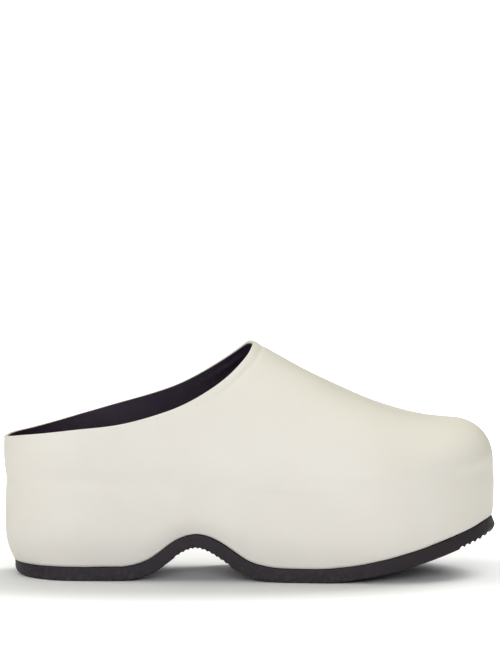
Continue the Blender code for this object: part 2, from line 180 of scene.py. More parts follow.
OUTLINES = {side: fine_outline(side) for side in (LATERAL, MEDIAL)}
print("widest, mm:", round(1000 * (OUTLINES[MEDIAL][1].max() - OUTLINES[LATERAL][1].min()), 1))

# %% [markdown]
# ## Lines seen from the side
# The sole stands level under heel and ball, rises over the arch and springs up at the toe. The
# crease is the line where the leather turns from the platform on to the foot. The collar dips at
# the heel and climbs to the throat.


# %% Side lines
def sole_line(x):
    """Top of the rubber sole."""
    arch = ARCH_RISE * arch_at(np.clip((x - HEEL_X - ARCH_START) / ARCH_LENGTH, 0, 1))
    spring = np.clip((share_at(x) - 1) / TOE_SPRING_SHARE + 1, 0, 2)
    return SOLE_THICKNESS + arch + TOE_SPRING * spring**TOE_SPRING_POWER


def under_line():
    """Underside of the rubber sole: its top moved square to itself by the thickness."""
    x = np.linspace(HEEL_X - SOLE_THICKNESS, TOE_X + SOLE_THICKNESS, 4001)
    z = sole_line(x)
    slope = np.gradient(z, x)
    run = np.hypot(1, slope)
    return x + slope / run * SOLE_THICKNESS, z - SOLE_THICKNESS / run


UNDER = under_line()


def sole_under(x):
    return np.interp(x, *UNDER)


def foot_z(x):
    return sole_line(x) + GAP


def crease_z(x):
    return PLATFORM_HEIGHT * crease_at(share_at(x))


def bed_z(x):
    return crease_z(x) - BED_DROP


RIM_HEIGHT, RIM_LEAN, LEATHER = 0.0006, 0.87, 0.0020
THROAT_X = THROAT_REACH + RIM_LEAN * RIM_HEIGHT - SHOE_LENGTH / 2


def collar_z(x, side):
    """Line where the leather starts to roll over: the collar, lowered by the height of the roll."""
    share = (x + SHOE_LENGTH / 2) / (THROAT_X + SHOE_LENGTH / 2)
    low = COLLAR_HEIGHT - RIM_HEIGHT
    throat = INSTEP_HEIGHT * ridge_at(share_at(THROAT_X))
    z = low + (throat - low) * rise_at(share)
    if side == MEDIAL:
        z = z + MEDIAL_LIFT * lift_at(share)
    return np.where(share > 1, np.inf, z)


print("arch clears the ground by %.1f mm" % (1000 * sole_under(np.linspace(-.06, .02, 200)).max()))

# %% [markdown]
# ## The surface of the last
# Every point of the leather has a place along the shoe and a climb: 0 at the sole, 1 at the
# crease and 2 at the ridge on top of the foot. Below the crease stands the wall of the platform,
# which tucks in above the sole. Above it each section is a full, rounded arch. One function gives
# any point, so that the mesh can be as fine as a fold needs.


# %% Points and normals of the leather's surface
def fold_depth(share, distance):
    return CREASE_DEPTH * fold_at(share) * np.exp(-(distance / CREASE_WIDTH) ** 2)


def wall_inset(share, z):
    x = x_at(share)
    rise = (z - foot_z(x)) / (crease_z(x) - foot_z(x))
    tuck = TUCK * tuck_at(share) * np.clip(1 - rise / TUCK_SHARE, 0, 1) ** 2
    return tuck + fold_depth(share, crease_z(x) - z)


def outline_at(share, side):
    return [np.interp(share, FINE, row) for row in OUTLINES[side]]


def wall(share, side, rise):
    x, y, out_x, out_y = outline_at(share, side)
    z = foot_z(x) + (crease_z(x) - foot_z(x)) * rise
    inset = wall_inset(share, z)
    return np.stack([x - out_x * inset, y - out_y * inset, z], axis=-1)


def ridge_point(share):
    x = HEEL_X + HEEL_REACH + (WALL_LENGTH - HEEL_REACH - TOE_REACH) * share
    y = BALL_WIDTH * (centre_at(share_at(x)) + RIDGE_SIDE)
    return x, y, INSTEP_HEIGHT * ridge_at(share_at(x))


def dome(share, side, angle):
    x, y, out_x, out_y = outline_at(share, side)
    top_x, top_y, top_z = ridge_point(share)
    bend = 2 / power_at(share)
    spread = np.clip(np.cos(angle), 0, 1) ** bend
    height = (top_z - crease_z(x)) * np.clip(np.sin(angle), 0, 1) ** bend
    swell = HEEL_SWELL * swell_at(share) * (1 - np.exp(-(height / SWELL_WIDTH) ** 2))
    out = swell - fold_depth(share, height)
    return np.stack([top_x + (x + out_x * out - top_x) * spread,
                     top_y + (y + out_y * out - top_y) * spread,
                     crease_z(x) + height], axis=-1)


def surface(share, side, climb):
    share, climb = np.broadcast_arrays(share, climb)
    low = wall(share, side, np.clip(climb, 0, 1))
    high = dome(share, side, (np.clip(climb, 1, 2) - 1) * pi / 2)
    return np.where((climb < 1)[..., None], low, high)


def surface_normal(share, side, climb):
    """Direction that faces out of the leather."""
    share, climb = np.broadcast_arrays(share, np.clip(climb, 0, 1.99))
    along = surface(np.minimum(share + 1e-5, 1), side, climb)
    along = along - surface(np.maximum(share - 1e-5, 0), side, climb)
    up = surface(share, side, climb + 1e-3) - surface(share, side, climb - 1e-3)
    normal = np.cross(up, along) * side
    return normal / np.linalg.norm(normal, axis=-1, keepdims=True)


def collar_climb(share, side):
    """Climb at which each section meets the collar, or 2 in front of the throat."""
    low, high = np.ones_like(share), np.full_like(share, 2.0)
    for _ in range(40):
        middle = (low + high) / 2
        point = surface(share, side, middle)
        above = point[..., 2] > collar_z(point[..., 0], side)
        high, low = np.where(above, middle, high), np.where(above, low, middle)
    return high


print("instep at the throat: %.1f mm high" % (1000 * INSTEP_HEIGHT * ridge_at(share_at(THROAT_X))))

# %% [markdown]
# ## How fine the mesh is
# A fold two millimetres wide needs points closer than one millimetre. Sections are drawn close
# together around the throat and at the rounded ends, and wider apart where the leather lies flat.
# The rows crowd towards the collar, where the hem is.

# %% Places of sections and rows
SECTION_ZONES = [(0.15, 0.27, 24), (0.27, 0.54, 120), (0.54, 0.74, 44)]
HEEL_SECTIONS, TOE_SECTIONS = 38, 62
WALL_STEPS, DOME_STEPS = 34, 74
ROWS_CROWD, ROWS_BEND = 1.5, 3  # crowd of the rows at the collar, and how late they bend to it
BLUR, BLUR_STEPS = 0.12, 25
THROAT_SHARE = float((THROAT_X - HEEL_X - HEEL_REACH) / (WALL_LENGTH - HEEL_REACH - TOE_REACH))


def sections():
    heel = HEEL_ROUND * (1 - np.cos(np.linspace(0, pi / 2, HEEL_SECTIONS + 1)))
    toe = 1 - TOE_ROUND * (1 - np.cos(np.linspace(pi / 2, 0, TOE_SECTIONS + 1)))
    parts = [heel] + [np.linspace(*zone) for zone in SECTION_ZONES] + [toe]
    places = np.unique(np.round(np.concatenate(parts), 8))
    before = THROAT_SHARE - np.array([0, 0.0002, 0.0006, 0.0012])
    far = np.abs(places[:, None] - before[None, :]).min(axis=1) > 0.0006
    return np.sort(np.concatenate([places[far], before]))


def climbs(side, places):
    """Rows of climb for every section: up the wall, then over the foot to the collar or ridge."""
    top = collar_climb(places, side)
    top = np.where(places >= THROAT_SHARE - 1e-9, 2.0, top)
    shifts = np.linspace(-BLUR, BLUR, BLUR_STEPS)
    shifted = [collar_climb(np.clip(places + shift, 0, 1), side) for shift in shifts]
    base = np.mean(shifted, axis=0)
    up = 1 - (1 - np.arange(1, DOME_STEPS + 1) / DOME_STEPS) ** ROWS_CROWD
    wall_rows = [np.full_like(places, k / WALL_STEPS) for k in range(WALL_STEPS + 1)]
    return np.array(wall_rows + [1 + (base - 1) * u + (top - base) * u**ROWS_BEND for u in up])


PLACES = sections()
CLIMBS = {side: climbs(side, PLACES) for side in (LATERAL, MEDIAL)}
THROAT = int(np.argmin(np.abs(PLACES - THROAT_SHARE)))
print(len(PLACES), "sections a side,", len(CLIMBS[LATERAL]), "rows")


# %% Bare surface of the leather
def agree(grids):
    """Both sides share their points at heel and toe, and along the ridge in front of the throat."""
    near, far = grids[LATERAL], grids[MEDIAL]
    for part in (np.s_[:, 0], np.s_[:, -1], np.s_[-1, THROAT:]):
        near[part] = far[part] = (near[part] + far[part]) / 2
    return grids


BARE = agree({side: surface(PLACES, side, CLIMBS[side]) for side in (LATERAL, MEDIAL)})
NORMALS = agree({side: surface_normal(PLACES, side, CLIMBS[side]) for side in (LATERAL, MEDIAL)})
for side in NORMALS:
    NORMALS[side] /= np.linalg.norm(NORMALS[side], axis=-1, keepdims=True)
bare_points = np.concatenate([grid.reshape(-1, 3) for grid in BARE.values()])
plain_low, plain_high = [np.array(corner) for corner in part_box("upper")]
MOVE = (plain_low + plain_high) / 2 - (bare_points.min(axis=0) + bare_points.max(axis=0)) / 2
MOVE[2] = 0
print("moved to lie over the plain upper, mm:", np.round(MOVE * 1000, 2))

# %% [markdown]
# ## Folds placed one by one
# Leather that is pulled over a block keeps a few soft marks: a trough around the waist, a faint
# ridge where the vamp turns into the wall, a hollow over the arch, a pleat that falls away from the
# toe, and the edge of the hem under the turned collar. A random bump would put them anywhere, so
# each mark is drawn as a path in the shoe's own sizes: distance from the heel and height above the
# ground. The skin then rises or sinks along it, softly and less towards its ends. A mark may be
# wider above its path than below it, as the pleat at the toe is.

# %% Paths of the folds, in millimetres from the heel and above the ground
TOE_PLEAT = [
    (216, 48.8), (226, 52.2), (235, 55.2), (243, 57.9), (251, 60.9), (257, 63.2), (262, 65.0)]
FOLDS = [  # side, rise of the skin, width above and below the path, path
    (LATERAL, 0.36, (1.7, 1.7), [(124, 50.6), (140, 50.5), (160, 50.3), (180, 50.5), (198, 51.2)]),
    (LATERAL, 0.26, (2.2, 2.2), [(184, 56.0), (196, 56.3), (212, 57.5)]),
    (LATERAL, -0.55, (13.0, 13.0), [(92, 38.0), (108, 37.0), (122, 40.0)]),
    (LATERAL, -0.45, (4.0, 4.0), [(74, 56.5), (84, 54.0), (92, 49.5), (98, 45.0)]),
    (LATERAL, -0.25, (3.5, 3.5), [(16, 54.5), (34, 53.5), (52, 53.0), (74, 52.0)]),
    (LATERAL, 0.20, (2.6, 2.6), [(130, 96.0), (139, 97.5), (148, 99.5)]),
    (LATERAL, 1.00, (11.0, 4.0), TOE_PLEAT),
    (MEDIAL, 0.28, (2.0, 2.0), [(120, 50.5), (150, 50.2), (190, 50.8)]),
    (MEDIAL, -0.45, (12.0, 12.0), [(90, 38.0), (110, 37.0), (124, 40.0)]),
    (MEDIAL, -0.35, (4.0, 4.0), [(74, 56.0), (86, 53.0), (96, 46.0)]),
    (MEDIAL, 1.00, (11.0, 4.0), TOE_PLEAT),
]
FOLD_REACH, FOLD_FADE = 2.6, 0.7
HEM_WIDTH, HEM_DEPTH, HEM_EDGE, HEM_ZONE = 0.0045, 0.00036, 0.0015, 0.02
HEM_PUFF, HEM_PUFF_PLACE, HEM_PUFF_WIDTH = 0.00012, 0.45, 0.4
HEM_FADE = (-0.034, -0.010)


def path_points(side, path):
    """The path as close points on the surface, with a strength that fades to both ends."""
    path = np.array(path) / 1000
    run = np.linspace(0, 1, len(path))
    fine = np.linspace(0, 1, 90)
    x, z = [spline(run, path[:, k])(fine) for k in (0, 1)]
    x = x - SHOE_LENGTH / 2
    grid = BARE[side].reshape(-1, 3)
    flat = grid[:, (0, 2)]
    found = [grid[np.argmin(((flat - (a, b)) ** 2).sum(axis=1))] for a, b in zip(x, z)]
    return np.array(found), np.sin(pi * np.clip(fine, 0.02, 0.98)) ** FOLD_FADE


def nearest(points, targets):
    """Distance from each point to the nearest target, and which target that is."""
    tree = KDTree(len(targets))
    for index, target in enumerate(targets):
        tree.insert(target, index)
    tree.balance()
    hits = [tree.find(point) for point in points]
    return np.array([hit[2] for hit in hits]), np.array([hit[1] for hit in hits])


def along_folds(side):
    """Rise of the skin from all the folds of a side."""
    grid = BARE[side]
    lift = np.zeros(grid.shape[:2])
    for fold_side, rise, width, path in FOLDS:
        if fold_side != side:
            continue
        targets, strength = path_points(side, path)
        reach = FOLD_REACH * max(width) / 1000
        low, high = targets.min(axis=0) - reach, targets.max(axis=0) + reach
        near = np.all((grid > low) & (grid < high), axis=-1)
        distance, which = nearest(grid[near], targets)
        soft = np.where(grid[near][:, 2] > targets[which][:, 2], *width) / 1000
        lift[near] += rise / 1000 * strength[which] * np.exp(-(distance / soft) ** 2)
    return lift


def smooth_step(value, low, high):
    t = np.clip((value - low) / (high - low), 0, 1)
    return t * t * (3 - 2 * t)


def collar_loop(grids):
    """Points of a row around the opening: lateral side to the throat, medial side back."""
    return np.concatenate([grids[LATERAL][-1, :THROAT + 1], grids[MEDIAL][-1, THROAT - 1:0:-1]])


def hem(side):
    """Puffed band along the collar, with a groove where the turned leather ends."""
    grid = BARE[side]
    lift = np.zeros(grid.shape[:2])
    near = grid[..., 2] > COLLAR_HEIGHT - HEM_ZONE
    distance, _ = nearest(grid[near], collar_loop(BARE))
    strength = smooth_step(grid[near][:, 0], *HEM_FADE)
    from_middle = (distance - HEM_WIDTH * HEM_PUFF_PLACE) / (HEM_WIDTH * HEM_PUFF_WIDTH)
    band = HEM_PUFF * np.exp(-from_middle ** 2)
    groove = HEM_DEPTH * np.exp(-((distance - HEM_WIDTH) / HEM_EDGE) ** 2)
    lift[near] = (band - groove) * strength
    return lift


WAVES = [  # length of the wave in mm along x, y and z, rise in mm, start
    (61, 90, 47, 0.10, 0.3), (37, 55, 70, 0.07, 1.9),
    (23, 41, 31, 0.045, 4.1), (83, 33, 26, 0.06, 2.6)]


def waviness(side):
    """Slow unevenness of a hide stretched by hand."""
    grid = BARE[side]
    lift = np.zeros(grid.shape[:2])
    for long_x, long_y, long_z, rise, start in WAVES:
        turn = grid[..., 0] / long_x + grid[..., 1] / long_y + grid[..., 2] / long_z
        lift += rise / 1000 * np.sin(2 * pi * 1000 * turn + start)
    return lift


SKIN = {}
for side in (LATERAL, MEDIAL):
    lift = along_folds(side) + hem(side) + waviness(side)
    SKIN[side] = BARE[side] + NORMALS[side] * lift[..., None] + MOVE
    print("side", side, "folds from %.2f to %.2f mm" % (1000 * lift.min(), 1000 * lift.max()))
agree(SKIN)

# %% [markdown]
# ## Leather with a thickness and a rolled collar
# A collar is not a cut sheet: the leather is thinned, turned over and glued down, which leaves a
# round edge. The shell is therefore one closed body: the skin outside, a low oval roll along the
# collar, and an inner face that runs back down to the sole. The roll is swept along the collar, in
# the plane of the skin's own normal and the direction that points out of the leather.


# %% Helpers that make meshes
def add_mesh(name, points, faces):
    mesh = bpy.data.meshes.new(name)
    mesh.from_pydata(np.asarray(points, float).tolist(), [], faces)
    shape = bmesh.new()
    shape.from_mesh(mesh)
    bmesh.ops.remove_doubles(shape, verts=shape.verts, dist=1e-6)
    bmesh.ops.dissolve_degenerate(shape, edges=shape.edges, dist=1e-7)
    bmesh.ops.recalc_face_normals(shape, faces=shape.faces)
    open_edges = sum(not edge.is_manifold for edge in shape.edges)
    triangles = sum(len(face.verts) - 2 for face in shape.faces)
    shape.to_mesh(mesh)
    shape.free()
    mesh.shade_smooth()
    piece = bpy.data.objects.new(name, mesh)
    bpy.context.scene.collection.objects.link(piece)
    print(name, triangles, "triangles, open edges:", open_edges)
    return piece


def band_faces(rows, count, first=0):
    """Quads between closed rings that follow one another."""
    faces = []
    for row in range(rows - 1):
        start = first + row * count
        for i in range(count):
            a, b = start + i, start + (i + 1) % count
            faces.append((a, b, b + count, a + count))
    return faces


def whole_ring(grids, row):
    return np.concatenate([grids[LATERAL][row], grids[MEDIAL][row, -2:0:-1]])


# %% Shell between two depths below the skin
ROLL_STEPS, INNER_ROWS = 10, 40


def collar_frame():
    """Place, outward normal and the direction out of the leather, around the collar."""
    place, normal = collar_loop(SKIN), collar_loop(NORMALS)
    along = np.roll(place, -1, axis=0) - np.roll(place, 1, axis=0)
    out = np.cross(normal, along)
    return place, normal, out / np.linalg.norm(out, axis=1, keepdims=True)


def leather_shell(name, depth, thickness, roll_height, first_row, inner_rows):
    """Closed shell that follows the skin, from one row up to a rolled collar."""
    count = 2 * (len(PLACES) - 1)
    outer = {side: SKIN[side] - NORMALS[side] * depth for side in SKIN}
    inner = {side: SKIN[side] - NORMALS[side] * (depth + thickness) for side in SKIN}
    last_row = len(SKIN[LATERAL]) - 1
    outer_rows = range(first_row, last_row + 1)
    rings = [whole_ring(outer, row) for row in outer_rows]
    faces = band_faces(len(rings), count)
    points = np.concatenate(rings)
    coarse = sorted(set(np.linspace(first_row, last_row, inner_rows).astype(int)))
    inner_rings = [whole_ring(inner, row) for row in coarse]
    faces += band_faces(len(inner_rings), count, len(points))
    foot = len(points)
    faces += [(i, (i + 1) % count, foot + (i + 1) % count, foot + i) for i in range(count)]
    points = np.concatenate([points] + inner_rings)
    place, normal, out = collar_frame()
    half = thickness / 2
    first, middle = len(points), place - normal * (depth + half)
    turns = np.linspace(0, pi, ROLL_STEPS + 1)
    roll = [middle + half * np.cos(turn) * normal + roll_height * np.sin(turn) * out
            for turn in turns]
    faces += band_faces(len(roll), len(place), first)
    return add_mesh(name, np.concatenate([points] + roll), faces)


upper_leather = leather_shell("upper_leather", 0.0, LEATHER, RIM_HEIGHT, 0, INNER_ROWS)
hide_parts("upper")
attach(upper_leather, "root")

# %% [markdown]
# ## The lining
# Inside lies a thin black leather lining. It ends with a rounded edge of its own, lower than the
# rolled collar, so that a narrow cream rim shows beside it. It is a second shell with the same
# folds, a hair's breadth inside the first, so that the two can't cross.

# %% Lining
LINING_DEPTH, LINING_THICKNESS, LINING_RISE = 0.00205, 0.0006, 0.00035
LINING_START, LINING_ROWS = int(0.80 * WALL_STEPS), 70
lining = leather_shell(
    "lining", LINING_DEPTH, LINING_THICKNESS, LINING_RISE, LINING_START, LINING_ROWS)
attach(lining, "root")


# %% [markdown]
# ## Rings for footbed and sole
# Footbed and sole are flat things with a rounded edge, so both are stacks of rings. A ring is the
# outline moved in by some distance, at a height that changes along the shoe. Points that face each
# other across the shoe share their place along it, and strips from side to side close the top and
# the underside.


# %% Rings around the shoe
def ring(places, inset, end=0.12):
    moved = {}
    for side, (x, y, out_x, out_y) in OUTLINES.items():
        moved[side] = (x - out_x * inset(FINE), y - out_y * inset(FINE))
    heel_move = moved[MEDIAL][0][0] - HEEL_X
    toe_move = moved[MEDIAL][0][-1] - TOE_X
    near_heel = np.clip(1 - places / end, 0, 1) ** 2
    near_toe = np.clip(1 - (1 - places) / end, 0, 1) ** 2
    x = x_at(places) + heel_move * near_heel + toe_move * near_toe
    lateral, medial = [np.interp(x, *moved[side]) for side in (LATERAL, MEDIAL)]
    lateral[[0, -1]] = medial[[0, -1]]
    return x, lateral, medial


def closed_ring(places, inset, height):
    x, lateral, medial = ring(places, inset)
    z = height(x)
    near, far = np.stack([x, lateral, z], axis=1), np.stack([x, medial, z], axis=1)
    return np.concatenate([near, far[-2:0:-1]]) + MOVE


def cap(loop, spans, dish, first, inner):
    """Points and faces of strips that close a ring, sunk by dish(place along, share across)."""
    stations = len(loop) // 2
    points = []
    for i in range(1, stations):
        near, far = loop[i], loop[-i]
        for k in range(1, spans):
            point = near + (far - near) * k / spans
            point[2] -= dish(point[0], k / spans)
            points.append(point)

    def index(i, k):
        if k == 0 or i in (0, stations):
            return first + i
        return first + len(loop) - i if k == spans else inner + (i - 1) * (spans - 1) + k - 1

    faces = []
    for i in range(stations):
        for k in range(spans):
            corners = [index(i, k), index(i + 1, k), index(i + 1, k + 1), index(i, k + 1)]
            faces.append(tuple(dict.fromkeys(corners)))
    return points, [face for face in faces if len(face) > 2]


def stack(name, rings, spans, dish, under_spans=1, under_dish=None):
    count = len(rings[0])
    points = np.concatenate(rings)
    faces = band_faces(len(rings), count)
    for row, spans_here, dish_here in ((0, under_spans, under_dish), (len(rings) - 1, spans, dish)):
        extra, strips = cap(rings[row], spans_here, dish_here, row * count, len(points))
        points = np.concatenate([points, extra]) if len(extra) else points
        faces += strips
    return add_mesh(name, points, faces)


# %% [markdown]
# ## The footbed
# The black sock that covers the platform is a little dished, so that the heel sits in it. Its edge
# is rounded where the cover is turned down. It stands for the plain insole.

# %% Footbed
BED_EDGE, BED_SPANS, BED_TURNS = 0.0012, 28, 6
HEEL_CUP, HEEL_CUP_PLACE, HEEL_CUP_WIDTH = 0.0006, 0.045, 0.03


def inner_inset(height, clearance):
    def inset(share):
        z = height(x_at(share))
        reach = CREASE_WIDTH / 8
        slope = (wall_inset(share, z + reach) - wall_inset(share, z - reach)) / (2 * reach)
        return wall_inset(share, z) + (WALL + clearance) * np.hypot(1, slope)
    return inset


def bed_ring(lift, inward):
    def height(x):
        return bed_z(x) + GAP + lift

    def inset(share):
        return inner_inset(height, SIDE_GAP)(share) + inward
    return closed_ring(PLACES, inset, height)


def bed_dish(x, across):
    heel = HEEL_CUP * np.exp(-((x - HEEL_X - HEEL_CUP_PLACE) / HEEL_CUP_WIDTH) ** 2)
    return (INSOLE_DISH + heel) * 4 * across * (1 - across)


bed_rings = [bed_ring(0.0, 0.0)]
for t in np.linspace(0, pi / 2, BED_TURNS):
    bed_rings.append(bed_ring(
        INSOLE_THICKNESS - BED_EDGE * (1 - np.sin(t)), BED_EDGE * (1 - np.cos(t))))
footbed = stack("footbed", bed_rings, BED_SPANS, bed_dish)
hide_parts("insole")
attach(footbed, "root")

# %% [markdown]
# ## The rubber sole
# The sole is a moulded sheet of rubber. Its lower edge is rounded, more so at heel and toe. Small
# ribs run across it under the arch and under the toe, where a stamped pattern would wear away
# last. The grooves are cut right through to the side, so the ribs show as small teeth against the
# light. Eight sections are drawn for each rib: its crest is narrow and the groove beside it is
# round.

# %% Rubber sole
RIB_SECTIONS, EDGE_STEPS, TOP_EDGE, SOLE_SPANS = 8, 6, 0.0004, 12
GROOVE_ROUND = 0.8
ARCH_RIBS = share_at(HEEL_X + ARCH_RIB_START + ARCH_RIB_PITCH * np.array([0, ARCH_RIB_COUNT]))
TOE_RIBS = share_at(TOE_X - TOE_RIB_END - TOE_RIB_PITCH * np.array([TOE_RIB_COUNT, 0]))


def sole_places():
    places = PLACES
    added = []
    for (start, end), count in ((ARCH_RIBS, ARCH_RIB_COUNT), (TOE_RIBS, TOE_RIB_COUNT)):
        places = places[(places < start - 1e-3) | (places > end + 1e-3)]
        added.append(np.linspace(start, end, count * RIB_SECTIONS + 1))
    return np.sort(np.concatenate([places] + added))


def groove_at(places):
    """Depth of the grooves between the ribs."""
    depth = np.zeros_like(places)
    for (start, end), count, deep in ((ARCH_RIBS, ARCH_RIB_COUNT, ARCH_RIB_DEPTH),
                                      (TOE_RIBS, TOE_RIB_COUNT, TOE_RIB_DEPTH)):
        inside = (places >= start) & (places <= end)
        turn = (places[inside] - start) / (end - start) * count
        depth[inside] = deep * np.clip(np.sin(pi * (turn % 1)), 0, 1) ** GROOVE_ROUND
    return depth


SOLE_PLACES = sole_places()
GROOVE = groove_at(SOLE_PLACES)


def both(values):
    return np.concatenate([values, values[-2:0:-1]])


def edge_inset(share):
    return TUCK * tuck_at(share) - TOE_LIP * share**4


def roll_radius(share):
    near_heel = np.clip(1 - share / HEEL_ROLL_SHARE, 0, 1) ** 0.5
    near_toe = np.clip(1 - (1 - share) / TOE_ROLL_SHARE, 0, 1) ** 0.5
    return SOLE_EDGE + (HEEL_ROLL - SOLE_EDGE) * near_heel + (TOE_ROLL - SOLE_EDGE) * near_toe


def lower_ring(turn):
    """Ring on the rounded lower edge, from the tread (0) to the side (a quarter turn)."""
    def inset(share):
        return edge_inset(share) + roll_radius(share) * (1 - np.sin(turn))
    points = closed_ring(SOLE_PLACES, inset, sole_under)
    lift = roll_radius(SOLE_PLACES) * (1 - np.cos(turn)) + GROOVE
    points[:, 2] += both(lift)
    return points


def upper_ring(turn):
    def inset(share):
        return edge_inset(share) + TOE_RAKE * share**TOE_RAKE_POWER + TOP_EDGE * (1 - np.cos(turn))
    points = closed_ring(SOLE_PLACES, inset, sole_line)
    points[:, 2] -= TOP_EDGE * (1 - np.sin(turn))
    return points


def no_dish(x, across):
    return 0.0


quarter = np.linspace(0, pi / 2, EDGE_STEPS)
sole_rings = [lower_ring(t) for t in quarter] + [upper_ring(t) for t in quarter]
outsole_rubber = stack("outsole_rubber", sole_rings, 1, no_dish, SOLE_SPANS, no_dish)
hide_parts("outsole")
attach(outsole_rubber, "root")

# %% [markdown]
# ## Small effects as node groups
# Grain, mottling and dust are each a node group with named inputs; grain and mottling turn up on
# more than one material. A group gives only a height, a mask or a colour. The shader itself stays
# in the material, where its roughness and gloss are easy to read.


# %% Helper for node groups
def node(tree, kind, inputs=None, **settings):
    made = tree.nodes.new(kind)
    for name, value in settings.items():
        setattr(made, name, value)
    for name, value in (inputs or {}).items():
        socket = made.inputs[name]
        if isinstance(value, bpy.types.NodeSocket):
            tree.links.new(value, socket)
        else:
            socket.default_value = value
    return made


def new_group(name, inputs, outputs):
    """Empty group with float inputs (name, value) and outputs (name, kind)."""
    tree = bpy.data.node_groups.new(name, "ShaderNodeTree")
    for label, value in inputs:
        kind = "NodeSocketFloat" if isinstance(value, (int, float)) else "NodeSocketColor"
        socket = tree.interface.new_socket(label, in_out="INPUT", socket_type=kind)
        socket.default_value = value
    for label, kind in outputs:
        tree.interface.new_socket(label, in_out="OUTPUT", socket_type=kind)
    return tree, tree.nodes.new("NodeGroupInput"), tree.nodes.new("NodeGroupOutput")


# %% Hide grain: small flat cells with fine creases between them
def make_grain():
    tree, given, result = new_group(
        "hide_grain", [("Cells per metre", 900.0), ("Fineness", 0.5)],
        [("Height", "NodeSocketFloat")])
    where = node(tree, "ShaderNodeTexCoord").outputs["Object"]
    warp = node(tree, "ShaderNodeTexNoise", {"Vector": where, "Scale": 260.0, "Detail": 2.0})
    pushed = node(tree, "ShaderNodeVectorMath",
                  {0: warp.outputs["Color"], 1: (0.0016, 0.0016, 0.0016)}, operation="MULTIPLY")
    moved = node(tree, "ShaderNodeVectorMath", {0: where, 1: pushed.outputs[0]}, operation="ADD")
    cells = node(tree, "ShaderNodeTexVoronoi",
                 {"Vector": moved.outputs[0], "Scale": given.outputs["Cells per metre"]},
                 feature="DISTANCE_TO_EDGE")
    edge = node(tree, "ShaderNodeMapRange",
                {"Value": cells.outputs["Distance"], "From Max": 0.22},
                interpolation_type="SMOOTHSTEP")
    fine = node(tree, "ShaderNodeTexNoise", {"Vector": where, "Scale": 2600.0, "Detail": 3.0})
    height = node(tree, "ShaderNodeMix", {0: given.outputs["Fineness"], 2: edge.outputs[0],
                                          3: fine.outputs["Fac"]}, data_type="FLOAT")
    tree.links.new(height.outputs[0], result.inputs["Height"])
    return tree


# %% Mottle: slow drift of tone in a dyed or moulded surface
def make_mottle():
    tree, given, result = new_group(
        "mottle",
        [("Colour A", (1, 1, 1, 1)), ("Colour B", (1, 1, 1, 1)), ("Spots per metre", 30.0)],
        [("Colour", "NodeSocketColor"), ("Mask", "NodeSocketFloat")])
    where = node(tree, "ShaderNodeTexCoord").outputs["Object"]
    drift = node(tree, "ShaderNodeTexNoise",
                 {"Vector": where, "Scale": given.outputs["Spots per metre"],
                  "Detail": 4.0, "Roughness": 0.55})
    mask = node(tree, "ShaderNodeMapRange", {"Value": drift.outputs["Fac"], "From Min": 0.32,
                                             "From Max": 0.68}, interpolation_type="SMOOTHSTEP")
    mixed = node(tree, "ShaderNodeMix", {0: mask.outputs[0], 6: given.outputs["Colour A"],
                                         7: given.outputs["Colour B"]}, data_type="RGBA")
    tree.links.new(mixed.outputs[2], result.inputs["Colour"])
    tree.links.new(mask.outputs[0], result.inputs["Mask"])
    return tree


# %% Dust: a pale veil that is thickest near the ground
def make_dust():
    tree, given, result = new_group(
        "dust", [("Height of veil", 0.012), ("Amount", 0.3)], [("Mask", "NodeSocketFloat")])
    where = node(tree, "ShaderNodeTexCoord").outputs["Object"]
    split = node(tree, "ShaderNodeSeparateXYZ", {0: where})
    low = node(tree, "ShaderNodeMapRange",
               {"Value": split.outputs["Z"], "From Min": given.outputs["Height of veil"],
                "From Max": 0.0})
    specks = node(tree, "ShaderNodeTexNoise", {"Vector": where, "Scale": 420.0, "Detail": 5.0})
    spread = node(tree, "ShaderNodeMapRange",
                  {"Value": specks.outputs["Fac"], "From Min": 0.45, "From Max": 0.75})
    veil = node(tree, "ShaderNodeMath", {0: low.outputs[0], 1: spread.outputs[0]},
                operation="MULTIPLY")
    mask = node(tree, "ShaderNodeMath", {0: veil.outputs[0], 1: given.outputs["Amount"]},
                operation="MULTIPLY")
    tree.links.new(mask.outputs[0], result.inputs["Mask"])
    return tree


GRAIN, MOTTLE, DUST = make_grain(), make_mottle(), make_dust()
print("node groups:", [tree.name for tree in (GRAIN, MOTTLE, DUST)])

# %% [markdown]
# ## Materials
# The cream leather is smooth and only a little glossy: a base colour that drifts between two
# creams, a fine low grain, and a thin finish on top. The lining is the same idea in black with a
# stronger pebble. Rubber is matt, with fine specks and a trace of dust near the ground.


# %% Helper for materials
def new_material(name, roughness, coat=0.0, coat_roughness=0.3):
    made = bpy.data.materials.new(name)
    made.use_nodes = True
    tree = made.node_tree
    shader = tree.nodes["Principled BSDF"]
    shader.inputs["Roughness"].default_value = roughness
    shader.inputs["Coat Weight"].default_value = coat
    shader.inputs["Coat Roughness"].default_value = coat_roughness
    return made, tree, shader


def group_node(tree, group, inputs):
    made = node(tree, "ShaderNodeGroup")
    made.node_tree = group
    for name, value in inputs.items():
        made.inputs[name].default_value = value
    return made


def bump(tree, height, depth, strength=1.0, normal=None):
    inputs = {"Height": height, "Distance": depth, "Strength": strength}
    if normal is not None:
        inputs["Normal"] = normal
    return node(tree, "ShaderNodeBump", inputs).outputs["Normal"]


